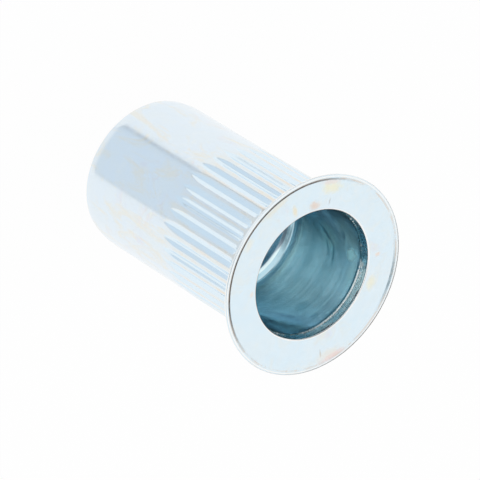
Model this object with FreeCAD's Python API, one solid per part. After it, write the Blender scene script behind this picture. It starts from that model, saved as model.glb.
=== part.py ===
"""Countersunk rivet nut, M8, with a straight knurled body.

The nut is one cold formed steel piece. It stands on its threaded end:
+Z runs along the axis towards the head, and the origin is the centre of
the threaded end's face. All sizes are in millimetres.
"""

import FreeCAD, Part
import math
import os

Vector = FreeCAD.Vector

# Overall sizes: the body's wall stands round the thread, and the head round the body
length = 19.0
thread_d = 8.0
thread_pitch = 1.25
thread_wall = 1.5
head_overhang = 1.75
head_angle = 90.0

# Rim of the head: a thin edge, and a face that falls away just before it
rim_edge = 0.05
rim_fall = 0.05
rim_bevel = 0.28
rim_bend_r = 1.5
neck_r = 0.1

# Threaded end: a short lead-in that starts the nut in its hole
lead_length = 0.75
lead_drop = 0.13
lead_bend_r = 3.0
end_edge_r = 0.1

# Inside, from the mouth down: land, bore, shoulder and thread
bore_wall = 0.9
bore_depth = 8.05
land_step = 0.08
land_depth = 0.8
mouth_r = 0.12
shoulder_fall = 0.38
shoulder_bend_r = 0.35
entry_chamfer = 0.3
exit_chamfer = 0.75

# Knurl: straight grooves that run out to points halfway down the body
groove_count = 36
groove_depth = 0.14
groove_floor = 0.14
groove_slope = 28.0
collar_length = 0.1
groove_length = 6.1
runout_length = 1.75

# How far a cutting tool stands clear of the surface it cuts
tool_clearance = 0.2

# Sizes that follow from those above
body_r = thread_d / 2 + thread_wall
head_r = body_r + head_overhang
bore_r = body_r - bore_wall
land_r = bore_r + land_step
thread_minor_r = (thread_d - 1.0825 * thread_pitch) / 2
cone_height = head_overhang / math.tan(math.radians(head_angle / 2))
neck_z = length - rim_fall - rim_edge - cone_height
shoulder_z = length - bore_depth
entry_z = shoulder_z - shoulder_fall
groove_top_z = neck_z - collar_length
runout_z = groove_top_z - groove_length


def corner_edges(before, corner, after, radius):
    """Return the two ends and the middle of the arc that rounds a corner."""
    back = (before - corner).normalize()
    ahead = (after - corner).normalize()
    half_angle = back.getAngle(ahead) / 2
    reach = radius / math.tan(half_angle)
    bisector = (back + ahead).normalize()
    centre = corner + bisector * (radius / math.sin(half_angle))
    return corner + back * reach, centre - bisector * radius, corner + ahead * reach


def outline_face(corners):
    """Make a face in the XZ plane from (radius, height, corner radius) rows."""
    points = [Vector(r, 0, z) for r, z, rounding in corners]
    count = len(points)
    stretches = []
    for i, (r, z, rounding) in enumerate(corners):
        if rounding > 0:
            before = points[i - 1]
            after = points[(i + 1) % count]
            stretches.append(corner_edges(before, points[i], after, rounding))
        else:
            stretches.append((points[i],))
    edges = []
    for i, stretch in enumerate(stretches):
        if len(stretch) == 3:
            edges.append(Part.Arc(*stretch).toShape())
        following = stretches[(i + 1) % count]
        edges.append(Part.LineSegment(stretch[-1], following[0]).toShape())
    return Part.Face(Part.Wire(edges))


def turned_blank():
    """Revolve the nut's section: body, countersunk head, bore and thread hole."""
    section = [
        (body_r - lead_drop, 0, end_edge_r),
        (body_r, lead_length, lead_bend_r),
        (body_r, neck_z, neck_r),
        (head_r, neck_z + cone_height, 0),
        (head_r, length - rim_fall, 0),
        (head_r - rim_bevel, length, rim_bend_r),
        (land_r, length, mouth_r),
        (land_r, length - land_depth, 0),
        (bore_r, length - land_depth, 0),
        (bore_r, shoulder_z, shoulder_bend_r),
        (thread_minor_r + entry_chamfer, entry_z, 0),
        (thread_minor_r, entry_z - entry_chamfer, 0),
        (thread_minor_r, exit_chamfer, 0),
        (thread_minor_r + exit_chamfer, 0, 0),
    ]
    return outline_face(section).revolve(Vector(0, 0, 0), Vector(0, 0, 1), 360)


def groove_cutter():
    """Make the tool for one groove on the +X side.

    The groove's section is a wide V with a narrow flat floor. It runs
    straight down from the collar, then its floor rises along an arc, so
    that the groove narrows to a point where it leaves the surface.
    """
    floor_x = body_r - groove_depth
    tool_depth = groove_depth + tool_clearance
    half_floor = groove_floor / 2
    half_top = half_floor + tool_depth / math.tan(math.radians(groove_slope))
    section = [
        Vector(floor_x, -half_floor, runout_z),
        Vector(floor_x + tool_depth, -half_top, runout_z),
        Vector(floor_x + tool_depth, half_top, runout_z),
        Vector(floor_x, half_floor, runout_z),
    ]
    face = Part.Face(Part.makePolygon(section + section[:1]))
    straight = face.extrude(Vector(0, 0, groove_length))

    lift_r = (runout_length**2 + groove_depth**2) / (2 * groove_depth)
    lift_angle = math.degrees(math.acos(1 - tool_depth / lift_r))
    pivot = Vector(floor_x + lift_r, 0, runout_z)
    runout = face.revolve(pivot, Vector(0, -1, 0), lift_angle)
    return straight.fuse(runout)


def knurled(blank):
    """Cut the ring of grooves into the body."""
    tool = groove_cutter()
    tools = []
    for i in range(groove_count):
        one = tool.copy()
        one.rotate(Vector(0, 0, 0), Vector(0, 0, 1), 360 * i / groove_count)
        tools.append(one)
    return blank.cut(tools)


def main():
    """Build the nut and write it out."""
    os.makedirs("parts", exist_ok=True)
    nut = knurled(turned_blank())
    solid = nut.Solids[0]
    box = solid.BoundBox
    print("solids", len(nut.Solids), "valid", solid.isValid(), "volume", round(solid.Volume, 2))
    print("box", round(box.XLength, 3), round(box.YLength, 3), round(box.ZLength, 3))
    solid.exportStep("parts/rivet_nut.step")


if __name__ == "__main__":
    main()
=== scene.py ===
"""A countersunk rivet nut with a knurled body, on a pale studio floor.

The nut stands on its threaded end with +Z along its axis, as in the CAD
frame. Its surface is one closed skin, worked out from the nut's section:
each row of the section becomes a ring, and the knurl and the thread move
the points of the rings in or out.
"""

import logging
import math
from dataclasses import dataclass, field
from enum import Enum

import bpy
import numpy as np
from mathutils import Matrix, Vector


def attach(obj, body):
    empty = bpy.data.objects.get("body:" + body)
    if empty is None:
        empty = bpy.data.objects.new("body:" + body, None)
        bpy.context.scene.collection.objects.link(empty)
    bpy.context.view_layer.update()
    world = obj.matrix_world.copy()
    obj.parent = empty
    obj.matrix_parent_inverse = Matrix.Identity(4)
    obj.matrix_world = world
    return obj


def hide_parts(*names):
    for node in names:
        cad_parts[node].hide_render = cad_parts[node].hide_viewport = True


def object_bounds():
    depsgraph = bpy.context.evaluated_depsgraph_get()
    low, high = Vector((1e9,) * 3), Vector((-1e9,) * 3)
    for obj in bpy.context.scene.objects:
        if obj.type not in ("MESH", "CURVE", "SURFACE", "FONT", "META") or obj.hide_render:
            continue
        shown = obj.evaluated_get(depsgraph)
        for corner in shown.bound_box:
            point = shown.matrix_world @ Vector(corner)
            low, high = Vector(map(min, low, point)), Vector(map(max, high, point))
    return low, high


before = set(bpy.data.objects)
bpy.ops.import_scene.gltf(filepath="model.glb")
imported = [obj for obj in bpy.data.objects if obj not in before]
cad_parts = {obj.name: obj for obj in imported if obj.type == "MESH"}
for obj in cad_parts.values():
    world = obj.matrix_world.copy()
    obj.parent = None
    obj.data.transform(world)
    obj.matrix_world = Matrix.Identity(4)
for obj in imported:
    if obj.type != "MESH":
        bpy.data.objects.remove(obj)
cad_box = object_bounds()

LOG = logging.getLogger("rivet_nut")
NODE = "rivet_nut"
MM = 0.001
VECTOR, COLOUR, NUMBER = "NodeSocketVector", "NodeSocketColor", "NodeSocketFloat"
WHITE = (1.0, 1.0, 1.0)
# Colour of the chipped plating and of the painted highlight along the step into the bore.
CHIP_AND_HIGHLIGHT = (0.94, 1.0, 1.0)

Array = np.ndarray
Group = bpy.types.ShaderNodeTree
Socket = bpy.types.NodeSocket
Shade = tuple[float, float, float]
# Where a soft edge begins and ends
Span = tuple[float, float]
# Where a soft-edged stretch begins, is full, is still full and is gone
Edges = tuple[float, float, float, float]


class Zone(Enum):
    """The parts of the nut's skin that have a finish of their own, in the order of its materials."""

    BODY = 0
    HEAD = 1
    LAND = 2
    BORE = 3
    THREAD = 4


@dataclass(frozen=True)
class Corner:
    """One corner of the nut's section, in millimetres.

    The corner is rounded to radius bend with bend_rows rows, and rows are
    set out on the straight stretch from it to the next corner.
    """

    r: float
    z: float
    zone: Zone
    rows: int = 1
    bend: float = 0.0
    bend_rows: int = 4
    worn: float = 0.0


@dataclass(frozen=True)
class Rings:
    """The rows of a stretch of the section: radius, height, zone and wear."""

    r: Array
    z: Array
    zone: Array
    worn: Array


def smooth_step(value: Array) -> Array:
    """Ease value from 0 to 1 as t * t * (3 - 2 t), with t held to 0 and 1."""
    t = np.clip(value, 0.0, 1.0)
    return t * t * (3.0 - 2.0 * t)


def rounded_corner(before: Array, corner: Corner, after: Array) -> Array:
    """Return the points of the arc that rounds a corner.

    The arc's centre is on the corner's bisector at bend / sin(half angle),
    and its points are turned evenly from one tangent point to the other.

    Args:
        before: The previous corner's (r, z).
        corner: The corner to round.
        after: The next corner's (r, z).

    Returns:
        An array of bend_rows points (r, z).
    """
    here = np.array([corner.r, corner.z])
    back = (before - here) / np.linalg.norm(before - here)
    ahead = (after - here) / np.linalg.norm(after - here)
    half = math.acos(float(np.clip(back @ ahead, -1.0, 1.0))) / 2.0
    bisector = (back + ahead) / np.linalg.norm(back + ahead)
    centre = here + bisector * corner.bend / math.sin(half)
    start = here + back * corner.bend / math.tan(half) - centre
    end = here + ahead * corner.bend / math.tan(half) - centre
    turn = math.atan2(start[0] * end[1] - start[1] * end[0], float(start @ end))
    angle = np.linspace(0.0, turn, corner.bend_rows)
    cos, sin = np.cos(angle), np.sin(angle)
    return centre + np.stack([start[0] * cos - start[1] * sin, start[0] * sin + start[1] * cos], axis=1)


def section_rings(corners: list[Corner]) -> Rings:
    """Set out the rows of an open section.

    Args:
        corners: The corners in order. The first and last stay sharp.

    Returns:
        The rows from the first corner to the last.
    """
    places = [np.array([c.r, c.z]) for c in corners]
    bends = [rounded_corner(places[i - 1], corner, places[i + 1]) if corner.bend > 0.0 else [places[i]]
             for i, corner in enumerate(corners)]
    rows = []
    for i, corner in enumerate(corners):
        rows += [(*point, corner.zone.value, corner.worn) for point in bends[i]]
        for share in np.linspace(0.0, 1.0, corner.rows + 1)[1:-1]:
            point = bends[i][-1] + (bends[i + 1][0] - bends[i][-1]) * share
            rows.append((*point, corner.zone.value, 0.0))
    return Rings(*np.array(rows).T)


@dataclass(frozen=True)
class Knurl:
    """The ring of straight grooves on the head half of the body.

    A groove's section is a V with a rounded floor: at s along the surface
    from its middle it stands slope * (sqrt(s^2 + a^2) - a) above the floor.
    Below the straight stretch the floor rises along an arc, so that the
    groove narrows to a point.
    """

    count: int = 36
    depth: float = 0.115
    floor: float = 0.09
    slope_degrees: float = 25.0
    top_z: float = 17.08
    straight: float = 6.1
    runout: float = 1.75
    crest_rise: float = 0.03
    edge_softness: float = 0.012
    top_end: float = 0.3
    crest_edge: float = 0.05
    crest_least: float = 0.55
    crest_low_z: float = 13.0
    crest_gain: float = 3.5
    recess_gain: float = 3.0

    @property
    def straight_z(self) -> float:
        """The height at which the straight stretch ends and the floor starts to rise."""
        return self.top_z - self.straight

    def floor_depth(self, z: Array) -> Array:
        """Return how far below the body the floor would lie at each height."""
        below = np.maximum(self.straight_z - z, 0.0)
        runout = self.depth - self.depth / self.runout**2 * below**2
        top = smooth_step((self.top_z - z) / self.top_end)
        return np.where(z > self.straight_z, self.depth * top, runout)

    def offset(self, angle: Array, z: Array, body_r: float) -> tuple[Array, Array, Array]:
        """Work out how the knurl moves the body's surface.

        The groove takes away softplus(floor depth - height above floor),
        and the metal that it displaced stands up as a low crest.

        Args:
            angle: Angles round the axis, in radians.
            z: Heights, in millimetres, of the same shape.
            body_r: The body's radius.

        Returns:
            The radial move in millimetres, and 0 to 1 masks of the crests
            and of the grooves.
        """
        pitch = 2.0 * math.pi / self.count
        along = body_r * np.abs((angle + pitch / 2.0) % pitch - pitch / 2.0)
        slope = math.tan(math.radians(self.slope_degrees))
        height = slope * (np.sqrt(along**2 + self.floor**2) - self.floor)
        depth = self.floor_depth(z)
        k = self.edge_softness
        cut = k * np.logaddexp(0.0, (depth - height) / k)
        grip = smooth_step((z - (self.straight_z - self.runout)) / self.runout)
        grip = grip * smooth_step((self.top_z + self.top_end - z) / (2.0 * self.top_end))
        groove = np.clip(cut / self.depth, 0.0, 1.0)
        wear = smooth_step((z - self.crest_low_z) / self.crest_gain)
        wear = self.crest_least + (1.0 - self.crest_least) * wear
        crest = grip * smooth_step((height - depth) / self.crest_edge) * wear
        return self.crest_rise * grip * (1.0 - groove) - cut, crest, smooth_step(groove * self.recess_gain)


@dataclass(frozen=True)
class Thread:
    """The right-hand screw thread in the far half of the hole.

    At phase p of a turn, z / pitch - angle / (2 pi), the groove's depth is
    full for |p| under root and falls to nothing over flank, eased by softness.
    """

    pitch: float = 1.25
    depth: float = 0.677
    root: float = 0.0625
    flank: float = 0.3125
    fade: float = 1.0
    softness: float = 0.5

    def depth_at(self, angle: Array, z: Array, top_z: float) -> Array:
        """Return the thread groove's depth, faded in below the shoulder.

        Args:
            angle: Angles round the axis, in radians.
            z: Heights, in millimetres.
            top_z: The height at which the thread has faded out.

        Returns:
            The depth at each point, in millimetres.
        """
        phase = z / self.pitch - angle / (2.0 * math.pi)
        away = np.abs(phase - np.round(phase))
        ramp = np.clip((self.root + self.flank - away) / self.flank, 0.0, 1.0)
        shape = ramp + (smooth_step(ramp) - ramp) * self.softness
        return self.depth * shape * smooth_step((top_z - z) / self.fade)


@dataclass
class NutSkin:
    """The nut's whole surface, as one closed mesh.

    Sizes are in millimetres. They follow the CAD model's, but for the rim,
    the shoulder and the entry to the thread.
    """

    length: float = 19.0
    head_r: float = 7.25
    body_r: float = 5.5
    neck_z: float = 17.15
    bore_r: float = 4.6
    land_r: float = 4.68
    land_depth: float = 0.8
    bore_depth: float = 8.03
    shoulder_bend_r: float = 0.27
    dish_r: float = 4.12
    dish_z: float = 10.74
    shoulder_r: float = 3.92
    shoulder_z: float = 10.66
    thread_minor_r: float = 3.3234
    entry_r: float = 3.70
    entry_z: float = 10.30
    thread_top_z: float = 10.15
    exit_chamfer: float = 0.75
    lead_length: float = 0.75
    lead_drop: float = 0.13
    rim_edge: float = 0.08
    rim_fall: float = 0.025
    lip_rise: float = 0.065
    lip_slope: float = 0.19
    lip_top: float = 0.12
    lip_bevel: float = 0.12
    mouth_ring: float = 0.25
    mouth_depth: float = 0.12
    step_bevel: float = 0.02
    bore_edge: float = 0.08
    tips_gap: float = 0.1
    neck_bend: float = 0.1
    touching: float = 0.01
    seam_gap: float = 0.05
    outer_columns: int = 576
    knurl: Knurl = Knurl()
    thread: Thread = Thread()

    def outer_section(self) -> list[Corner]:
        """List the corners from the end face, up the outside, to the face of the head."""
        straight_z = self.knurl.straight_z
        tips_z = straight_z - self.knurl.runout
        end_r = self.body_r - self.lead_drop
        edge_z = self.length - self.rim_fall
        lip_r = self.head_r - self.lip_bevel
        face_z = self.length - self.lip_rise
        return [
            Corner(self.middle_r(), 0.0, Zone.BODY, rows=3),
            Corner(end_r, 0.0, Zone.BODY, rows=4, bend=0.10, bend_rows=6, worn=1.0),
            Corner(self.body_r, self.lead_length, Zone.BODY, rows=4, bend=3.0, bend_rows=5),
            Corner(self.body_r, tips_z - self.tips_gap, Zone.BODY, rows=22),
            Corner(self.body_r, straight_z, Zone.BODY, rows=4),
            Corner(self.body_r, self.knurl.top_z - self.knurl.top_end, Zone.BODY, rows=6),
            Corner(self.body_r, self.neck_z, Zone.BODY, rows=4, bend=self.neck_bend, bend_rows=6),
            Corner(self.head_r, edge_z - self.rim_edge, Zone.HEAD, bend=0.03, worn=1.0),
            Corner(self.head_r, edge_z, Zone.HEAD, rows=3, bend=0.02, worn=1.0),
            Corner(lip_r, self.length, Zone.HEAD, bend=0.2, bend_rows=3, worn=1.0),
            Corner(lip_r - self.lip_top, self.length, Zone.HEAD, bend=0.12),
            Corner(lip_r - self.lip_top - self.lip_slope, face_z, Zone.HEAD, rows=5, bend=0.15),
            Corner(self.land_r + self.mouth_ring + self.seam_gap, face_z, Zone.HEAD),
        ]

    def inner_section(self) -> list[Corner]:
        """List the corners from the face of the head, down the hole, to the end face."""
        bore_top = self.length - self.land_depth
        bore_end = self.length - self.bore_depth
        face_z = self.length - self.lip_rise
        exit_r = self.thread_minor_r + self.exit_chamfer
        return [
            Corner(self.land_r + self.mouth_ring, face_z, Zone.HEAD, rows=2),
            Corner(self.land_r, face_z, Zone.HEAD, bend=0.09, bend_rows=8, worn=1.0),
            Corner(self.land_r, face_z - self.mouth_depth, Zone.LAND, rows=3),
            Corner(self.land_r, bore_top + self.step_bevel, Zone.LAND, bend=0.02, bend_rows=3),
            Corner(self.bore_r, bore_top, Zone.LAND, bend=0.06, bend_rows=6),
            Corner(self.bore_r, bore_top - self.bore_edge, Zone.BORE, rows=15),
            Corner(self.bore_r, bore_end, Zone.BORE, bend=self.shoulder_bend_r, bend_rows=12),
            Corner(self.dish_r, self.dish_z, Zone.THREAD, bend=1.2, bend_rows=5),
            Corner(self.shoulder_r, self.shoulder_z, Zone.THREAD, rows=2, bend=0.03, bend_rows=5),
            Corner(self.entry_r, self.entry_z, Zone.THREAD, rows=2, bend=0.05, bend_rows=3),
            Corner(self.thread_minor_r, self.thread_top_z, Zone.THREAD, rows=88),
            Corner(self.thread_minor_r, self.exit_chamfer, Zone.THREAD, rows=8),
            Corner(exit_r, 0.0, Zone.THREAD, rows=2, bend=0.04, worn=1.0),
            Corner(self.middle_r() - self.seam_gap, 0.0, Zone.BODY),
        ]

    def middle_r(self) -> float:
        """Return the radius on the end face where the outer rings begin."""
        return (self.body_r - self.lead_drop + self.thread_minor_r + self.exit_chamfer) / 2.0

    def outer_points(self, rings: Rings) -> tuple[Array, dict[str, Array]]:
        """Turn the outer rows into rings and press the knurl into them.

        A point is (R cos a, R sin a, z), with R the row's radius plus the
        knurl's offset at its angle and height.

        Args:
            rings: The outer rows.

        Returns:
            Points of shape (rows, columns, 3), and the crest and recess masks.
        """
        angle = np.arange(self.outer_columns) / self.outer_columns * 2.0 * math.pi
        a, z = np.meshgrid(angle, rings.z)
        offset, crest, recess = self.knurl.offset(a, z, self.body_r)
        on_body = (rings.r > self.body_r - self.touching) & (rings.z < self.neck_z + self.neck_bend)
        on_body = on_body[:, None]
        r = rings.r[:, None] + offset * on_body
        masks = {"crest": crest * on_body, "recess": recess * on_body}
        return np.stack([r * np.cos(a), r * np.sin(a), z], axis=2), masks

    def inner_points(self, rings: Rings) -> Array:
        """Turn the inner rows into rings and cut the thread into them.

        Where the thread runs, R is the larger of the section's radius and
        the minor radius plus the thread's depth.

        Args:
            rings: The inner rows.

        Returns:
            Points of shape (rows, columns, 3).
        """
        columns = self.outer_columns // 2
        angle = np.arange(columns) / columns * 2.0 * math.pi
        a, z = np.meshgrid(angle, rings.z)
        depth = self.thread.depth_at(a, z, self.thread_top_z)
        threaded = (rings.z < self.thread_top_z + self.touching) & (rings.z > 0.0) & (rings.r < self.bore_r)
        cut = np.where(threaded[:, None], self.thread_minor_r + depth, 0.0)
        r = np.maximum(rings.r[:, None], cut)
        return np.stack([r * np.cos(a), r * np.sin(a), z], axis=2)

    def build(self, name: str) -> bpy.types.Object:
        """Make the mesh: two sets of rings, joined where their columns halve.

        Args:
            name: The new object's name.

        Returns:
            The finished object, with its UV map and its masks.
        """
        outer_rings = section_rings(self.outer_section())
        inner_rings = section_rings(self.inner_section())
        outer, masks = self.outer_points(outer_rings)
        inner = self.inner_points(inner_rings)
        skin = SkinMesh()
        skin.add_rings(outer, outer_rings, masks)
        skin.add_rings(inner, inner_rings, {})
        skin.join(fine_last=True)
        skin.join(fine_last=False)
        return skin.to_object(name)


def new_object(name: str, data: bpy.types.ID) -> bpy.types.Object:
    """Return a new object with the given data, in the scene."""
    made = bpy.data.objects.new(name, data)
    bpy.context.scene.collection.objects.link(made)
    return made


@dataclass
class SkinMesh:
    """Collects rings of points and the faces between them."""

    points: list[Array] = field(default_factory=list)
    masks: dict[str, list[Array]] = field(default_factory=lambda: {"crest": [], "recess": [], "worn": []})
    faces: list[Array] = field(default_factory=list)
    zones: list[Array] = field(default_factory=list)
    uvs: list[Array] = field(default_factory=list)
    grids: list[tuple[int, int, int, Array, Array]] = field(default_factory=list)
    used: int = 0

    def add_rings(self, points: Array, rings: Rings, masks: dict[str, Array]) -> None:
        """Add a grid of rings with quads between neighbouring rows.

        Args:
            points: Points of shape (rows, columns, 3), in millimetres.
            rings: The rows that the points came from.
            masks: Masks of shape (rows, columns). One left out is 0 all over.
        """
        rows, columns = points.shape[:2]
        steps = np.hypot(np.diff(rings.r), np.diff(rings.z))
        path = np.concatenate([[0.0], np.cumsum(steps)])
        i = np.arange(columns)[None, :]
        j = np.arange(rows - 1)[:, None]
        first = self.used + j * columns + i
        second = self.used + j * columns + (i + 1) % columns
        quads = np.stack([first, second, second + columns, first + columns], axis=2)
        u0, u1, v0, v1 = np.broadcast_arrays(i / columns, (i + 1) / columns, path[:-1, None], path[1:, None])
        uv = np.stack([u0, v0, u1, v0, u1, v1, u0, v1], axis=2)
        self.points.append(points.reshape(-1, 3))
        worn = np.broadcast_to(rings.worn[:, None], (rows, columns))
        for key, values in self.masks.items():
            values.append({"worn": worn, **masks}.get(key, np.zeros((rows, columns))).reshape(-1))
        self.faces.append(quads.reshape(-1, 4))
        self.zones.append(np.repeat(rings.zone[:-1], columns))
        self.uvs.append(uv.reshape(-1, 2))
        self.grids.append((self.used, rows, columns, path, rings.zone))
        self.used += rows * columns

    def join(self, fine_last: bool) -> None:
        """Join the first grid to the second, which has half its columns, with three triangles a step.

        Args:
            fine_last: True where the first grid's last ring meets the
                second's first, and False where its first meets the last.
        """
        f_start, f_rows, f_columns, f_path, f_zone = self.grids[0]
        c_start, c_rows, c_columns = self.grids[1][:3]
        f_row, c_row = (f_rows - 1, 0) if fine_last else (0, c_rows - 1)
        i = np.arange(c_columns)
        fine_ids = f_start + f_row * f_columns + np.stack([2 * i, 2 * i + 1, (2 * i + 2) % f_columns], axis=1)
        coarse_ids = c_start + c_row * c_columns + np.stack([i, (i + 1) % c_columns], axis=1)
        f0, f1, f2 = fine_ids.T
        c0, c1 = coarse_ids.T
        corners = [(f0, f1, c0), (c0, f1, c1), (f1, f2, c1)]
        if not fine_last:
            corners = [(a, c, b) for a, b, c in corners]
        triangles = np.stack([np.stack(t, axis=1) for t in corners], axis=1).reshape(-1, 3)
        self.faces.append(triangles)
        self.zones.append(np.full(len(triangles), f_zone[f_row]))
        u = np.repeat(i / c_columns, 3)
        v = np.full(len(u), f_path[f_row])
        self.uvs.append(np.repeat(np.stack([u, v], axis=1), 3, axis=0))

    def to_object(self, name: str) -> bpy.types.Object:
        """Make the object, scaled to metres, with smooth faces.

        Args:
            name: The new object's name.

        Returns:
            The object, linked to the scene.
        """
        mesh = bpy.data.meshes.new(name)
        points = np.concatenate(self.points) * MM
        totals = np.concatenate([np.full(len(f), f.shape[1]) for f in self.faces])
        corner_ids = np.concatenate([f.reshape(-1) for f in self.faces])
        starts = np.concatenate([[0], np.cumsum(totals)[:-1]])
        mesh.vertices.add(len(points))
        mesh.vertices.foreach_set("co", points.reshape(-1))
        mesh.loops.add(len(corner_ids))
        mesh.loops.foreach_set("vertex_index", corner_ids.astype(np.int32))
        mesh.polygons.add(len(totals))
        mesh.polygons.foreach_set("loop_start", starts.astype(np.int32))
        mesh.polygons.foreach_set("use_smooth", np.ones(len(totals), dtype=bool))
        mesh.polygons.foreach_set("material_index", np.concatenate(self.zones).astype(np.int32))
        mesh.update(calc_edges=True)
        layer = mesh.uv_layers.new(name="round_and_along")
        layer.data.foreach_set("uv", np.concatenate(self.uvs).reshape(-1).astype(np.float32))
        for key, values in self.masks.items():
            attribute = mesh.attributes.new(key, "FLOAT", "POINT")
            attribute.data.foreach_set("value", np.concatenate(values).astype(np.float32))
        mesh.validate()
        return new_object(name, mesh)


class Wiring:
    """Places and links the nodes of one node tree."""

    def __init__(self, tree: bpy.types.NodeTree) -> None:
        """Start on an empty tree."""
        self.tree = tree
        tree.nodes.clear()

    def node(self, kind: str, entries: dict[str | int, object] | None = None,
             **values: object) -> bpy.types.Node:
        """Place a node, set its properties and fill its inputs.

        Args:
            kind: Blender's name for the node.
            entries: What each input gets: a socket to link, or a constant. A
                colour is red, green and blue.
            **values: Properties to set on it.

        Returns:
            The new node.
        """
        made = self.tree.nodes.new(kind)
        for key, value in values.items():
            setattr(made, key, value)
        for key, entry in (entries or {}).items():
            socket = made.inputs[key]
            if isinstance(entry, Socket):
                self.tree.links.new(entry, socket)
            else:
                socket.default_value = (*entry, 1.0) if socket.type == "RGBA" else entry
        return made

    def math(self, operation: str, *values: object, clamp: bool = False) -> Socket:
        """Return the result of a Math node.

        Args:
            operation: Its operation.
            *values: Sockets or numbers, in order.
            clamp: True to hold the result to 0 and 1.

        Returns:
            The output socket.
        """
        made = self.node("ShaderNodeMath", dict(enumerate(values)), operation=operation, use_clamp=clamp)
        return made.outputs[0]

    def group(self, tree: Group, **entries: object) -> Socket:
        """Return the output of a node group, with its inputs filled by name."""
        return self.node("ShaderNodeGroup", entries, node_tree=tree).outputs[0]

    def times(self, product: object, *factors: object) -> Socket:
        """Return the product of sockets and numbers."""
        for factor in factors:
            product = self.math("MULTIPLY", product, factor)
        return product

    def vector_math(self, operation: str, *values: object) -> bpy.types.NodeOutputs:
        """Return the outputs of a Vector Math node, Vector and Value."""
        return self.node("ShaderNodeVectorMath", dict(enumerate(values)), operation=operation).outputs

    def turned(self, vector: Socket, angle: object) -> Socket:
        """Return a vector turned round the z axis, by an angle in radians."""
        entries = {"Vector": vector, "Angle": angle}
        return self.node("ShaderNodeVectorRotate", entries, rotation_type="Z_AXIS").outputs[0]

    def split(self, vector: object) -> tuple[Socket, ...]:
        """Return a vector's x, y and z."""
        return tuple(self.node("ShaderNodeSeparateXYZ", {0: vector}).outputs)

    def blend(self, share: object, low: object, high: object) -> Socket:
        """Return the mix of two colours, with share from 0 to 1 of the second."""
        return self.node("ShaderNodeMix", {"Factor": share, 6: low, 7: high}, data_type="RGBA").outputs[2]

    def mix(self, share: object, first: bpy.types.Node, second: bpy.types.Node) -> Socket:
        """Return the mix of two shaders, with share from 0 to 1 of the second."""
        entries = {"Fac": share, 1: first.outputs[0], 2: second.outputs[0]}
        return self.node("ShaderNodeMixShader", entries).outputs[0]

    def ramp(self, value: object, low: float, high: float, start: float = 0.0, end: float = 1.0) -> Socket:
        """Ease from start to end while value goes from low to high.

        Args:
            value: The input.
            low: The input that gives start.
            high: The input that gives end.
            start: The output up to low.
            end: The output from high on.

        Returns:
            The output socket.
        """
        entries = {"Value": value, "From Min": low, "From Max": high, "To Min": start, "To Max": end}
        return self.node("ShaderNodeMapRange", entries, interpolation_type="SMOOTHSTEP").outputs["Result"]

    def window(self, value: object, edges: Edges) -> Socket:
        """Return a mask that is 1 between the two middle edges and 0 outside the outer two."""
        return self.times(self.ramp(value, *edges[:2]), self.ramp(value, *edges[2:], 1.0, 0.0))

    def noise(self, place: object, scale: float, detail: float = 4.0, roughness: float = 0.6,
              distortion: float = 0.0) -> Socket:
        """Return a noise value.

        Args:
            place: The coordinates, in millimetres.
            scale: Cells per millimetre.
            detail: Octaves.
            roughness: How strong the finer octaves are.
            distortion: How far the noise is warped.

        Returns:
            The output socket.
        """
        entries = {"Vector": place, "Scale": scale, "Detail": detail, "Roughness": roughness,
                   "Distortion": distortion}
        return self.node("ShaderNodeTexNoise", entries).outputs["Fac"]

    def stretch(self, place: object, factors: Shade, shift: Shade = (0.0, 0.0, 0.0)) -> Socket:
        """Return coordinates times factors, plus a shift."""
        entries = {"Vector": place, "Scale": factors, "Location": shift}
        return self.node("ShaderNodeMapping", entries, vector_type="POINT").outputs["Vector"]


def start_group(name: str, inputs: dict[str, str],
                outputs: dict[str, str]) -> tuple[Wiring, bpy.types.NodeOutputs]:
    """Start a shader node group.

    Args:
        name: The group's name.
        inputs: Socket type for each input.
        outputs: Socket type for each output.

    Returns:
        The group's wiring, and what comes into the group.
    """
    group = bpy.data.node_groups.new(name, "ShaderNodeTree")
    for way, sockets in (("INPUT", inputs), ("OUTPUT", outputs)):
        for key, kind in sockets.items():
            group.interface.new_socket(name=key, in_out=way, socket_type=kind)
    w = Wiring(group)
    return w, w.node("NodeGroupInput").outputs


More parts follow.
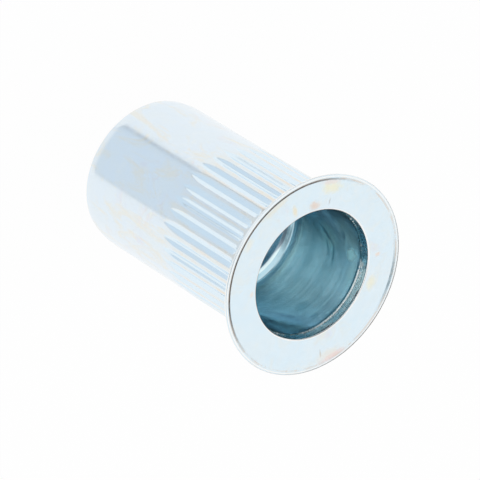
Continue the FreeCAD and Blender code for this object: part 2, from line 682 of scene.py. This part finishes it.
def film_group() -> Group:
    """Build the passivation film: a cloudy tint with smears and faint rainbow stains.

    Smears are a noise stretched along a slant. A stain's place is where a
    slow noise passes a level, and across it a finer noise runs through the
    colours of a thin film: straw, rose, then blue.

    Returns:
        The group, with Place, Base, Cloud, Smear and Stain in and Color out.
    """
    inputs = {"Place": VECTOR, "Base": COLOUR, "Cloud": NUMBER, "Smear": NUMBER, "Stain": NUMBER}
    w, into = start_group("passivation_film", inputs, {"Color": COLOUR})
    place = into["Place"]
    cloud = w.noise(place, 0.55, detail=5.0, roughness=0.62, distortion=0.6)
    cloudy = w.blend(w.times(w.ramp(cloud, 0.35, 0.65), into["Cloud"]), into["Base"], (0.80, 0.87, 0.90))
    slant = {"Vector": place, "Rotation": (0.5, 0.3, 0.4), "Scale": (0.9, 0.9, 0.28)}
    slanted = w.node("ShaderNodeMapping", slant, vector_type="POINT").outputs["Vector"]
    smear = w.noise(slanted, 0.8, detail=5.0, roughness=0.68, distortion=0.9)
    smeared = w.blend(w.times(w.ramp(smear, 0.50, 0.66), into["Smear"]), cloudy, (0.84, 0.83, 0.76))
    slow = w.stretch(place, (1.0, 1.0, 0.8), (7.3, 2.1, 4.0))
    where = w.noise(slow, 0.36, detail=3.0, roughness=0.55, distortion=1.2)
    tone = w.node("ShaderNodeValToRGB", {"Fac": w.noise(place, 1.3, detail=3.0, distortion=0.8)})
    stops = tone.color_ramp.elements
    stops[0].position, stops[0].color = 0.30, (0.88, 0.86, 0.70, 1.0)
    stops[1].position, stops[1].color = 0.75, (0.66, 0.80, 0.92, 1.0)
    for position, shade in ((0.42, (0.86, 0.82, 0.68)), (0.52, (0.84, 0.74, 0.72)),
                            (0.62, (0.76, 0.74, 0.84))):
        stops.new(position).color = (*shade, 1.0)
    mask = w.times(w.ramp(where, 0.56, 0.72), into["Stain"])
    w.node("NodeGroupOutput", {"Color": w.blend(mask, smeared, tone.outputs["Color"])})
    return w.tree


def scratch_group() -> Group:
    """Build fine scratches: thin lines of a stretched noise.

    A line is where the stretched noise is within a hair of its middle
    value, broken up by a slower noise along it.

    Returns:
        The group, with Place in and Mask out.
    """
    w, into = start_group("fine_scratches", {"Place": VECTOR}, {"Mask": NUMBER})
    middle, hair = 0.5, 0.03
    lines = w.noise(into["Place"], 1.0, detail=2.0, roughness=0.5)
    away = w.math("ABSOLUTE", w.math("SUBTRACT", lines, middle))
    thin = w.math("SUBTRACT", 1.0, w.math("DIVIDE", away, hair), clamp=True)
    slower = w.stretch(into["Place"], (0.25, 0.25, 0.25), (3.0, 9.0, 1.0))
    slower = w.noise(slower, 1.0, detail=2.0, roughness=0.5)
    w.node("NodeGroupOutput", {"Mask": w.times(thin, w.ramp(slower, 0.40, 0.62))})
    return w.tree


def mark_group() -> Group:
    """Build one mark's mask: an oval with a ragged, cloudy edge.

    The oval's distance is the length of the place from its middle, turned
    and divided by its half sizes. A noise is added before it is faded.

    Returns:
        The group, with Place, Middle, Turn, Half and Ragged in and Mask out.
    """
    inputs = {"Place": VECTOR, "Middle": VECTOR, "Turn": NUMBER, "Half": VECTOR, "Ragged": NUMBER}
    w, into = start_group("stain_spot", inputs, {"Mask": NUMBER})
    from_middle = w.vector_math("SUBTRACT", into["Place"], into["Middle"])["Vector"]
    turned = w.turned(from_middle, into["Turn"])
    away = w.vector_math("LENGTH", w.vector_math("DIVIDE", turned, into["Half"])["Vector"])["Value"]
    middle, spread = 0.5, 2.5
    rough = w.math("SUBTRACT", w.noise(into["Place"], 2.4, detail=5.0, roughness=0.7), middle)
    reach = w.math("ADD", away, w.times(rough, into["Ragged"], spread))
    w.node("NodeGroupOutput", {"Mask": w.ramp(reach, 0.25, 1.25, 1.0, 0.0)})
    return w.tree


@dataclass
class Coat:
    """One finish while it is wired: its colour, its shine as metal and its relief.

    place is in millimetres, uv is turns round the axis and millimetres along
    the section, and relief is in steps of the bump. rubbed is the side that
    the forming tool has rubbed. The chip mask is partly chipped plating and
    partly a painted highlight along the edge of the step into the bore.
    """

    w: Wiring
    place: Socket
    uv: Socket
    colour: Socket
    mark: Group
    metal: Socket | float = 1.0
    relief: Socket | float = 0.0
    rubbed: Socket | float = 0.0
    chips_and_highlight: Socket | float = 0.0

    def __post_init__(self) -> None:
        """Work out the turns round the axis, the height and the radius."""
        self.turns = self.w.split(self.uv)[0]
        self.z = self.w.split(self.place)[2]
        self.r = self.w.vector_math("LENGTH", self.w.stretch(self.place, (1.0, 1.0, 0.0)))["Value"]

    def paint(self, mask: Socket, shade: object) -> None:
        """Lay a colour over the coat where the mask is."""
        self.colour = self.w.blend(mask, self.colour, shade)

    def dull(self, share: Socket) -> None:
        """Take a share of the metal's shine away."""
        self.metal = self.w.math("SUBTRACT", 1.0, share)

    def lift(self, shape: Socket, depth: float) -> None:
        """Add a shape from 0 to 1 to the relief, times depth."""
        self.relief = self.w.math("ADD", self.relief, self.w.times(shape, depth))


@dataclass(frozen=True)
class Mark:
    """One oval stain on the head's face, or smudge on the bore's wall. On the
    wall the dark smudges are partly tool marks and partly painted shade,
    and the light, matt ones are painted light.

    Its middle lies at an angle round the axis and at reach, which is the
    radius on the face and the height on the wall. Half sizes are in
    millimetres, and matt is how much of the shine it takes away.
    """

    angle_degrees: float
    reach: float
    half_round: float
    half_across: float
    shade: Shade
    strength: float
    ragged: float = 0.6
    tilt_degrees: float = 0.0
    matt: float = 0.0

    def lay(self, coat: Coat, place: Socket, middle: Shade, turn: float) -> Socket:
        """Lay the mark on a coat.

        Args:
            coat: The coat.
            place: The coordinates that it is laid out in.
            middle: Its middle in them.
            turn: How far it is turned in them, in radians.

        Returns:
            Its mask.
        """
        half = (self.half_round, self.half_across, 1.0)
        mask = coat.w.group(coat.mark, Place=place, Middle=middle, Turn=turn, Half=half, Ragged=self.ragged)
        coat.paint(coat.w.times(mask, self.strength), self.shade)
        return mask


HEAD_MARKS = (
    Mark(51.0, 6.86, 1.15, 0.24, (0.83, 0.66, 0.66), 0.975),
    Mark(48.0, 6.60, 1.30, 0.45, (0.84, 0.80, 0.72), 0.585),
    Mark(43.3, 6.25, 0.07, 0.36, (0.62, 0.58, 0.52), 0.715, 0.15),
    Mark(203.0, 6.30, 0.95, 0.55, (0.86, 0.86, 0.70), 0.975),
    Mark(204.5, 6.70, 0.90, 0.22, (0.84, 0.76, 0.74), 0.715),
    Mark(202.0, 5.30, 0.05, 0.26, (0.50, 0.50, 0.50), 0.78, 0.10),
    Mark(215.5, 5.15, 0.42, 0.36, (0.80, 0.68, 0.60), 0.91),
    Mark(233.0, 5.42, 0.22, 0.50, (0.86, 0.79, 0.62), 0.845),
    Mark(104.0, 5.35, 0.60, 0.42, (0.86, 0.84, 0.66), 0.78),
    Mark(126.0, 5.48, 0.16, 0.24, (0.85, 0.74, 0.66), 0.91),
    Mark(306.0, 5.05, 0.26, 0.18, (0.85, 0.77, 0.70), 0.715),
    Mark(271.0, 6.55, 0.60, 0.34, (0.86, 0.85, 0.76), 0.65),
    Mark(245.0, 6.62, 1.50, 0.26, (0.82, 0.81, 0.72), 0.78),
)
# Smudges on the bore's wall: the dark ones are partly tool marks and partly painted shade; the light ones are
# painted light, made matt so that they catch the tent's light.
BORE_DARK_SMUDGE_AND_SHADE = (0.22, 0.45, 0.55)
BORE_PAINTED_LIGHT = (0.64, 0.98, 1.0)
BORE_SMUDGES_AND_PAINTED_SHADING = (
    Mark(138.0, 16.90, 1.90, 1.60, BORE_PAINTED_LIGHT, 0.95, 0.20, -20.0, 0.16),
    Mark(126.0, 14.70, 1.05, 1.20, BORE_PAINTED_LIGHT, 0.95, 0.20, 20.0, 0.12),
    Mark(31.0, 17.50, 0.85, 0.50, BORE_PAINTED_LIGHT, 0.80, 0.20, 0.0, 0.10),
    Mark(108.0, 17.60, 1.40, 0.55, BORE_PAINTED_LIGHT, 0.60, 0.40, 0.0, 0.20),
    Mark(24.0, 16.90, 0.90, 1.20, BORE_PAINTED_LIGHT, 0.70, 0.20, 12.0, 0.10),
    Mark(98.0, 13.00, 2.70, 0.90, BORE_DARK_SMUDGE_AND_SHADE, 0.42, 0.20),
    Mark(95.0, 15.20, 1.40, 1.00, BORE_DARK_SMUDGE_AND_SHADE, 0.30, 0.20),
    Mark(40.0, 16.70, 0.65, 0.90, BORE_DARK_SMUDGE_AND_SHADE, 0.28, 0.30, 10.0),
    Mark(56.0, 17.10, 0.45, 0.30, BORE_DARK_SMUDGE_AND_SHADE, 0.45, 0.30),
    Mark(57.0, 15.60, 0.60, 0.55, BORE_DARK_SMUDGE_AND_SHADE, 0.50, 0.30),
    Mark(80.0, 16.05, 2.60, 0.16, BORE_DARK_SMUDGE_AND_SHADE, 0.25, 0.30),
    Mark(84.0, 16.75, 2.20, 0.12, BORE_DARK_SMUDGE_AND_SHADE, 0.30, 0.30),
    Mark(110.0, 15.40, 0.85, 0.14, BORE_DARK_SMUDGE_AND_SHADE, 0.95, 0.15, -12.0),
    Mark(124.5, 14.45, 1.05, 0.16, BORE_DARK_SMUDGE_AND_SHADE, 1.0, 0.15, -58.0),
    Mark(114.0, 14.70, 0.70, 0.12, BORE_DARK_SMUDGE_AND_SHADE, 0.75, 0.15, -32.0),
    Mark(122.0, 13.55, 0.75, 0.18, BORE_DARK_SMUDGE_AND_SHADE, 0.35, 0.20, -52.0),
    Mark(117.0, 15.00, 0.80, 0.08, BORE_PAINTED_LIGHT, 0.60, 0.15, -28.0),
    Mark(134.0, 16.30, 0.45, 0.28, BORE_DARK_SMUDGE_AND_SHADE, 0.85, 0.30, -10.0),
    Mark(144.0, 15.20, 0.40, 0.40, BORE_DARK_SMUDGE_AND_SHADE, 0.60, 0.30, -10.0),
    Mark(119.0, 17.20, 0.55, 0.60, (0.50, 0.94, 1.0), 1.0, 0.60, -20.0, 0.85),
)


@dataclass(frozen=True)
class ToolMarks:
    """Tool marks on the land and the bore, with painted light and shade among them.

    Rings and blotches lie all over, and a pale band of painted highlight
    lies above the shoulder. The smudges on the bore's wall are partly tool
    marks and partly painted light and shade. The step between land and bore
    is darkened all round with painted shade; on the rubbed side its edge is
    partly chipped and partly a painted highlight, with a painted shadow line
    below it and a dark brown line under the mouth's edge. Heights are in
    millimetres, and turns are shares of one turn round the axis.
    """

    rings: float
    marks: tuple[Mark, ...] = ()
    wall_round: float = 28.9
    ring_shade: Shade = (0.30, 0.55, 0.66)
    blotch_shade: Shade = (0.26, 0.47, 0.56)
    # Painted highlight: a pale band on the wall just above the shoulder.
    highlight_band_heights: Edges = (11.25, 11.4, 11.65, 12.0)
    highlight_band_shade: Shade = (0.78, 0.97, 1.0)
    highlight_band_strength: float = 0.9
    rubbed_turns: Edges = (0.07, 0.17, 0.31, 0.34)
    step_heights: Edges = (18.13, 18.145, 18.225, 18.245)
    step_shadow_shades: tuple[Shade, Shade] = ((0.045, 0.14, 0.18), (0.16, 0.36, 0.45))
    flake_heights: Edges = (18.20, 18.24, 18.40, 18.60)
    flake_turns: Edges = (0.27, 0.305, 0.325, 0.335)
    # Painted shadow: a dark line just below the step, on the rubbed side.
    shadow_line_heights: Edges = (17.96, 18.02, 18.11, 18.125)
    line_shade: Shade = (0.10, 0.24, 0.30)
    dark_edge_heights: Span = (18.68, 18.74)
    dark_edge_least: float = 0.45
    dark_edge_shade: Shade = (0.12, 0.07, 0.06)

    def lay(self, coat: Coat) -> None:
        """Lay the marks on the land's or the bore's coat, and note its rubbed side and its chips."""
        w = coat.w
        rings = w.noise(w.stretch(coat.uv, (5.0, 4.5, 1.0)), 1.0, distortion=0.5)
        coat.paint(w.ramp(rings, 0.35, 0.68, 0.0, self.rings), self.ring_shade)
        clouds = w.stretch(coat.place, (0.7, 0.7, 0.9), (1.0, 4.0, 2.0))
        blotches = w.noise(clouds, 0.8, distortion=0.8)
        coat.paint(w.ramp(blotches, 0.48, 0.72, 0.0, self.rings), self.blotch_shade)
        # Painted highlight: the pale band above the shoulder.
        coat.paint(w.times(w.window(coat.z, self.highlight_band_heights), self.highlight_band_strength), self.highlight_band_shade)
        if self.marks:
            self.lay_wall(coat)
        coat.rubbed = w.window(coat.turns, self.rubbed_turns)
        # Painted shade: the step between land and bore is darkened all round.
        step = w.window(coat.z, self.step_heights)
        coat.paint(step, w.blend(coat.rubbed, *self.step_shadow_shades))
        broken = w.noise(w.stretch(coat.uv, (24.0, 1.0, 1.0)), 1.0, roughness=0.7)
        broken = w.ramp(broken, 0.38, 0.46)
        flakes = w.noise(w.stretch(coat.uv, (60.0, 4.0, 1.0), (3.0, 1.0, 5.0)), 1.0)
        flakes = w.times(w.ramp(flakes, 0.47, 0.54), w.window(coat.z, self.flake_heights),
                         w.window(coat.turns, self.flake_turns))
        # The chip mask along the step is partly chipped plating and partly a painted highlight of the step's
        # edge.
        coat.chips_and_highlight = w.math("MAXIMUM", w.times(step, coat.rubbed, broken), flakes)
        coat.paint(coat.chips_and_highlight, CHIP_AND_HIGHLIGHT)
        # Painted shadow: a dark line just below the step, on the rubbed side.
        coat.paint(w.times(w.window(coat.z, self.shadow_line_heights), coat.rubbed), self.line_shade)
        # A dark brown line under the mouth's edge on the rubbed side, uneven along it.
        uneven = w.ramp(broken, 0.0, 1.0, self.dark_edge_least, 1.0)
        coat.paint(w.times(w.ramp(coat.z, *self.dark_edge_heights), coat.rubbed, uneven), self.dark_edge_shade)

    def lay_wall(self, coat: Coat) -> None:
        """Lay the smudges, painted light and painted shade on the bore's coat, with its wall laid out flat.
        """
        w = coat.w
        entries = {0: w.times(coat.turns, self.wall_round), 1: coat.z}
        wall = w.node("ShaderNodeCombineXYZ", entries).outputs[0]
        matt = 0.0
        for mark in self.marks:
            middle = (mark.angle_degrees / 360.0 * self.wall_round, mark.reach, 0.0)
            mask = mark.lay(coat, wall, middle, -math.radians(mark.tilt_degrees))
            # Matt lets the painted-light patches catch the tent's light as a diffuse surface.
            if mark.matt > 0.0:
                matt = w.math("MAXIMUM", matt, w.times(mask, mark.matt))
        coat.dull(matt)


@dataclass(frozen=True)
class Scuffs:
    """The rough, dull patches on the rubbed side of the land, tinted paler across it as painted light."""

    heights: Span = (18.23, 18.28)
    level: Span = (0.40, 0.56)
    turns: Span = (0.19, 0.28)
    painted_light_tints: tuple[Shade, Shade] = ((0.36, 0.70, 0.84), (0.70, 0.97, 1.0))
    # Matt share of the chip mask, so that its painted highlight looks brighter.
    patch_matt: float = 0.5
    chip_and_highlight_matt: float = 0.35
    depth: float = 150.0

    def lay(self, coat: Coat) -> None:
        """Lay the patches on the land's coat, once its tool marks are on."""
        w = coat.w
        grain = w.noise(w.stretch(coat.uv, (30.0, 3.5, 1.0)), 1.0, detail=5.0, roughness=0.65)
        burr = w.times(w.ramp(coat.z, *self.heights), coat.rubbed, grain)
        patch = w.ramp(burr, *self.level)
        # Painted light: the patches turn paler across the rubbed side, towards where the land looks
        # brightest.
        shade = w.blend(w.ramp(coat.turns, *self.turns), *self.painted_light_tints)
        coat.paint(patch, w.blend(coat.chips_and_highlight, shade, CHIP_AND_HIGHLIGHT))
        coat.dull(w.math("MAXIMUM", w.times(patch, self.patch_matt), w.times(coat.chips_and_highlight, self.chip_and_highlight_matt)))
        coat.lift(burr, self.depth)


@dataclass(frozen=True)
class EntryShade:
    """Painted shade: a grey ring round the entry to the thread, wider on one side."""

    edge_r: float = 3.93
    wider: float = 0.40
    wider_turns: Span = (0.225, 0.31)
    fade: Span = (-0.03, 0.12)
    heights: Span = (10.26, 10.32)
    shade: Shade = (0.36, 0.46, 0.54)

    def lay(self, coat: Coat) -> None:
        """Lay the painted shade on the thread's coat."""
        w = coat.w
        edge = w.math("ADD", self.edge_r, w.times(w.ramp(coat.turns, *self.wider_turns), self.wider))
        near = w.ramp(w.math("SUBTRACT", coat.r, edge), *self.fade, 1.0, 0.0)
        coat.paint(w.times(near, w.ramp(coat.z, *self.heights)), self.shade)


@dataclass(frozen=True)
class RimWear:
    """Bare, brownish patches on the slope of the head's lip."""

    radii: Edges = (6.90, 6.94, 7.02, 7.06)
    strength: float = 0.6
    shade: Shade = (0.80, 0.68, 0.58)
    matt: float = 0.25

    def lay(self, coat: Coat) -> None:
        """Lay the patches on the head's coat."""
        w = coat.w
        patches = w.stretch(coat.place, (1.0, 1.0, 1.0), (5.0, 2.0, 0.0))
        bare = w.ramp(w.noise(patches, 0.75, detail=5.0, roughness=0.7), 0.40, 0.56)
        bare = w.times(bare, w.window(coat.r, self.radii), self.strength)
        coat.paint(bare, self.shade)
        coat.dull(w.times(bare, self.matt))


class Grain(Enum):
    """How the fine scratches are stretched over u and v."""

    ALONG = (160.0, 1.1, 1.0)
    ROUND = (6.0, 9.0, 1.0)
    MIXED = (60.0, 2.2, 1.0)


@dataclass(frozen=True)
class ZincFinish:
    """Bright zinc plating with a pale passivation film, on one zone of the nut.

    Depths are in steps of the bump, which is in metres. haze is the least and
    the most that the roughness is multiplied by.
    """

    name: str
    tint: Shade
    roughness: float
    grain: Grain
    cloud: float = 0.0
    smear: float = 0.0
    stain: float = 0.0
    scratch_depth: float = 0.4
    ripple_depth: float = 0.0
    pit_depth: float = 0.35
    bump_step: float = 0.000002
    bright_lines: float = 0.2
    line_shade: Shade = (0.95, 0.95, 0.93)
    marks: tuple[Mark, ...] = ()
    marks_z: float = 18.965
    tool: ToolMarks | None = None
    # The last layer: wear on the head, scuffs with painted light on the land, painted shade round the
    # thread's entry.
    wear: Scuffs | EntryShade | RimWear | None = None
    recess_shade: Shade = (0.75, 0.885, 0.975)
    recess_strength: float = 0.8
    crest_shades: tuple[Shade, Shade] = ((0.815, 0.83, 0.80), (0.85, 0.77, 0.66))
    crest_strength: float = 0.9
    worn_shade: Shade = (0.98, 0.97, 0.95)
    worn_strength: float = 0.85
    haze: Span = (0.75, 1.3)

    def rub(self, coat: Coat) -> None:
        """Tint the knurl's grooves and crests, and bare the worn edges."""
        w = coat.w
        crest, recess, worn = (w.node("ShaderNodeAttribute", attribute_name=key).outputs["Fac"]
                               for key in ("crest", "recess", "worn"))
        coat.paint(w.times(recess, self.recess_strength), self.recess_shade)
        clouds = w.noise(w.stretch(coat.place, (1.0, 1.0, 0.5)), 1.1, distortion=0.5)
        shade = w.blend(w.ramp(clouds, 0.46, 0.64), *self.crest_shades)
        coat.paint(w.times(crest, self.crest_strength), shade)
        coat.paint(w.times(w.ramp(worn, 0.4, 1.0), self.worn_strength), self.worn_shade)

    def make(self, groups: dict[str, Group]) -> bpy.types.Material:
        """Build the material.

        Args:
            groups: The shared node groups by name.

        Returns:
            The material.
        """
        material = bpy.data.materials.new(self.name)
        material.use_nodes = True
        w = Wiring(material.node_tree)
        where = w.node("ShaderNodeTexCoord").outputs
        place = w.stretch(where["Object"], (1.0 / MM, 1.0 / MM, 1.0 / MM))
        film = w.group(groups["film"], Place=place, Base=self.tint, Cloud=self.cloud, Smear=self.smear,
                       Stain=self.stain)
        coat = Coat(w, place, where["UV"], film, groups["mark"])
        for mark in self.marks:
            angle = math.radians(mark.angle_degrees)
            middle = (mark.reach * math.cos(angle), mark.reach * math.sin(angle), self.marks_z)
            mark.lay(coat, place, middle, math.pi / 2.0 - angle)
        self.rub(coat)
        if self.tool:
            self.tool.lay(coat)
        scratches = w.group(groups["scratch"], Place=w.stretch(coat.uv, self.grain.value))
        coat.paint(w.times(scratches, self.bright_lines), self.line_shade)
        coat.lift(w.noise(place, 7.0), self.pit_depth)
        coat.lift(scratches, -self.scratch_depth)
        if self.ripple_depth > 0.0:
            rings = w.stretch(coat.uv, (1.6, 1.3, 1.0))
            coat.lift(w.noise(rings, 1.0, roughness=0.55, distortion=0.4), self.ripple_depth)
        if self.wear:
            self.wear.lay(coat)
        rough = w.noise(place, 2.2, detail=5.0, roughness=0.65)
        bump = w.node("ShaderNodeBump", {"Strength": 1.0, "Distance": self.bump_step, "Height": coat.relief})
        shader = w.node("ShaderNodeBsdfPrincipled", {
            "Base Color": coat.colour,
            "Metallic": coat.metal,
            "Roughness": w.ramp(rough, 0.3, 0.7, *(self.roughness * share for share in self.haze)),
            "Normal": bump.outputs["Normal"],
        })
        w.node("ShaderNodeOutputMaterial", {"Surface": shader.outputs["BSDF"]})
        return material


FINISHES = {
    Zone.BODY: ZincFinish("zinc_body", (0.775, 0.865, 0.94), 0.16, Grain.MIXED, cloud=0.5, smear=0.75,
                          stain=0.40),
    Zone.HEAD: ZincFinish("zinc_head", (0.735, 0.865, 0.945), 0.20, Grain.MIXED, cloud=0.4, smear=0.25,
                          stain=0.35, marks=HEAD_MARKS, wear=RimWear()),
    Zone.LAND: ZincFinish("zinc_land", (0.58, 0.90, 1.0), 0.26, Grain.ALONG, cloud=0.3, scratch_depth=3.0,
                          ripple_depth=30.0, bright_lines=0.9, tool=ToolMarks(rings=0.15), wear=Scuffs()),
    Zone.BORE: ZincFinish("zinc_bore", (0.572, 0.795, 0.890), 0.20, Grain.ALONG, ripple_depth=30.0,
                          tool=ToolMarks(rings=0.28, marks=BORE_SMUDGES_AND_PAINTED_SHADING)),
    Zone.THREAD: ZincFinish("zinc_thread", (0.80, 0.97, 1.0), 0.16, Grain.ROUND, wear=EntryShade()),
}


@dataclass
class RivetNut:
    """The rivet nut: its skin and the five finishes on it."""

    skin: NutSkin = field(default_factory=NutSkin)

    def build(self) -> bpy.types.Object:
        """Make the skin and set it on the CAD body.

        Returns:
            The nut's object.
        """
        piece = self.skin.build("rivet_nut_skin")
        groups = {"film": film_group(), "scratch": scratch_group(), "mark": mark_group()}
        for zone in Zone:
            piece.data.materials.append(FINISHES[zone].make(groups))
        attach(piece, "root")
        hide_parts(NODE)
        return piece


@dataclass(frozen=True)
class CameraPose:
    """The photograph's camera, given by what it sees.

    In camera axes (x right, y down, z ahead) the nut's axis points along
    (sin lean cos roll, sin lean sin roll, -cos lean), and the middle of the
    head's face lies at head_place, in head radii. The camera stands on the
    -Y side, turned round the nut by round_degrees so that the grooves fall
    where the photograph shows them.
    """

    lean_degrees: float = 44.1
    roll_degrees: float = 32.15
    round_degrees: float = -4.2
    head_place: tuple[float, float, float] = (0.6757, 0.3257, 46.11)
    focal_px: float = 5000.0
    image_px: float = 480.0
    sensor_mm: float = 36.0
    nearest: float = 0.01

    def build(self, head_r: float, head_z: float) -> None:
        """Make the camera and look through it.

        Args:
            head_r: The head's radius in metres.
            head_z: The height of the head's face in metres.
        """
        lean, roll = math.radians(self.lean_degrees), math.radians(self.roll_degrees)
        axis = Vector((math.sin(lean) * math.cos(roll), -math.sin(lean) * math.sin(roll), math.cos(lean)))
        side = Vector((-math.sin(roll), -math.cos(roll), 0.0))
        turn = Matrix((side, axis.cross(side), axis))
        x, y, z = self.head_place
        place = Vector((0.0, 0.0, head_z)) - turn @ (Vector((x, -y, -z)) * head_r)
        data = bpy.data.cameras.new("photo_camera")
        data.sensor_width = self.sensor_mm
        data.lens = self.focal_px / self.image_px * self.sensor_mm
        data.clip_start = self.nearest
        camera = new_object("photo_camera", data)
        swing = Matrix.Rotation(math.radians(self.round_degrees), 4, "Z")
        camera.matrix_world = swing @ Matrix.Translation(place) @ turn.to_4x4()
        bpy.context.scene.camera = camera


@dataclass(frozen=True)
class Opening:
    """A darker opening in the tent, or a seam in it, between soft bearings and heights."""

    shade: Shade
    bearings: Edges
    heights: Edges


FRONT_HEIGHTS = (-0.97, -0.80, -0.55, -0.40)
BACK_HEIGHTS = (-0.22, -0.08, 0.36, 0.48)
BACK_SHADE = (0.13, 0.095, 0.075)
OPENINGS = (
    Opening((0.765, 0.830, 0.895), (-41.1, -39.9, 42.5, 44.5), FRONT_HEIGHTS),
    Opening((0.50, 0.55, 0.60), (-42.0, -40.5, -37.5, -36.0), FRONT_HEIGHTS),
    Opening((0.60, 0.64, 0.66), (41.3, 42.3, 43.1, 44.1), FRONT_HEIGHTS),
    Opening(BACK_SHADE, (122.0, 142.0, 200.0, 210.0), BACK_HEIGHTS),
    Opening(BACK_SHADE, (-210.0, -200.0, -142.0, -122.0), BACK_HEIGHTS),
    Opening((0.03, 0.04, 0.05), (-130.0, -106.0, -34.0, -10.0), (0.26, 0.48, 0.79, 0.88)),
)


@dataclass(frozen=True)
class Studio:
    """A white light tent over a pale floor, with darker openings.

    One opening is for the lens and one is overhead. The others are a pale
    one below in front with a seam at each edge, a dark one low behind, in
    two halves, and one to the side. Bearings are degrees round the nut, from
    the camera's side towards +X, heights are the z of a direction of length
    one, and lens_edges are degrees from the lens.
    """

    turn_degrees: float
    floor_size: float = 3.0
    floor_drop: float = 0.00002
    floor_white: float = 0.97
    floor_colour: Shade = (0.95, 0.95, 0.95)
    floor_roughness: float = 0.9
    lamp_size: float = 0.6
    lamp_watts: float = 0.25
    lamp_place: tuple[float, float, float] = (-0.15, 0.25, 0.60)
    openings: tuple[Opening, ...] = OPENINGS
    lens_height: float = 46.0
    lens_edges: Span = (8.5, 5.5)
    lens_shade: Shade = (0.10, 0.12, 0.13)
    overhead_x: Span = (0.05, 0.17)
    overhead_z: Span = (0.89, 0.94)
    overhead_shade: Shade = (0.26, 0.31, 0.33)

    def floor(self) -> None:
        """Lay the floor just under the nut's end face."""
        half = self.floor_size / 2.0
        mesh = bpy.data.meshes.new("studio_floor")
        corners = [(x * half, y * half, -self.floor_drop) for x, y in ((-1, -1), (1, -1), (1, 1), (-1, 1))]
        mesh.from_pydata(corners, [], [(0, 1, 2, 3)])
        floor = new_object("studio_floor", mesh)
        material = bpy.data.materials.new("pale_floor")
        material.use_nodes = True
        w = Wiring(material.node_tree)
        entries = {"Base Color": self.floor_colour, "Roughness": self.floor_roughness}
        paper = w.node("ShaderNodeBsdfPrincipled", entries)
        white = w.node("ShaderNodeEmission", {"Color": WHITE})
        seen = w.node("ShaderNodeLightPath").outputs
        mirrored = w.math("ADD", seen["Is Glossy Ray"], seen["Is Transmission Ray"], clamp=True)
        shown = w.math("ADD", seen["Is Camera Ray"], mirrored, clamp=True)
        mix = w.mix(w.times(shown, self.floor_white), paper, white)
        w.node("ShaderNodeOutputMaterial", {"Surface": mix})
        mesh.materials.append(material)
        floor.visible_glossy = False

    def world(self) -> None:
        """Set the tent's light: white all round, with the darker openings.

        The camera sees plain white instead.
        """
        world = bpy.data.worlds.new("light_tent")
        bpy.context.scene.world = world
        world.use_nodes = True
        w = Wiring(world.node_tree)
        turned = w.turned(w.node("ShaderNodeTexCoord").outputs["Generated"], -math.radians(self.turn_degrees))
        x, y, z = w.split(turned)
        bearing = w.times(w.math("ARCTAN2", x, w.times(y, -1.0)), 180.0 / math.pi)
        up = math.radians(self.lens_height)
        facing = w.vector_math("DOT_PRODUCT", turned, (0.0, -math.cos(up), math.sin(up)))["Value"]
        lens = w.ramp(facing, *(math.cos(math.radians(edge)) for edge in self.lens_edges))
        shade = w.blend(lens, WHITE, self.lens_shade)
        overhead = w.times(w.ramp(x, *self.overhead_x), w.ramp(z, *self.overhead_z))
        shade = w.blend(overhead, shade, self.overhead_shade)
        for opening in self.openings:
            mask = w.times(w.window(bearing, opening.bearings), w.window(z, opening.heights))
            shade = w.blend(mask, shade, opening.shade)
        tent = w.node("ShaderNodeBackground", {"Color": shade})
        backdrop = w.node("ShaderNodeBackground", {"Color": WHITE})
        camera = w.node("ShaderNodeLightPath").outputs["Is Camera Ray"]
        w.node("ShaderNodeOutputWorld", {"Surface": w.mix(camera, tent, backdrop)})

    def lamp(self) -> None:
        """Hang one large soft lamp over the nut."""
        data = bpy.data.lights.new("soft_lamp", "AREA")
        data.shape = "DISK"
        data.size = self.lamp_size
        data.energy = self.lamp_watts
        lamp = new_object("soft_lamp", data)
        place = Vector(self.lamp_place)
        lamp.matrix_world = Matrix.Translation(place) @ place.to_track_quat("Z", "Y").to_matrix().to_4x4()
        lamp.visible_glossy = False

    def build(self) -> None:
        """Put up the whole studio."""
        self.floor()
        self.world()
        self.lamp()
        bpy.context.scene.view_settings.view_transform = "Standard"


def main() -> None:
    """Build the nut, the studio and the camera."""
    logging.basicConfig(level=logging.INFO, format="%(name)s: %(message)s")
    high = cad_box[1]
    piece = RivetNut().build()
    piece.data.calc_loop_triangles()
    counts = len(piece.data.vertices), len(piece.data.loop_triangles)
    LOG.info("%s: %d points, %d triangles", piece.name, *counts)
    pose = CameraPose()
    Studio(turn_degrees=pose.round_degrees).build()
    LOG.info("studio: floor, light tent and lamp")
    pose.build(head_r=high[0], head_z=high[2])
    LOG.info("camera: set at the photograph's angle")


if __name__ == "__main__":
    main()
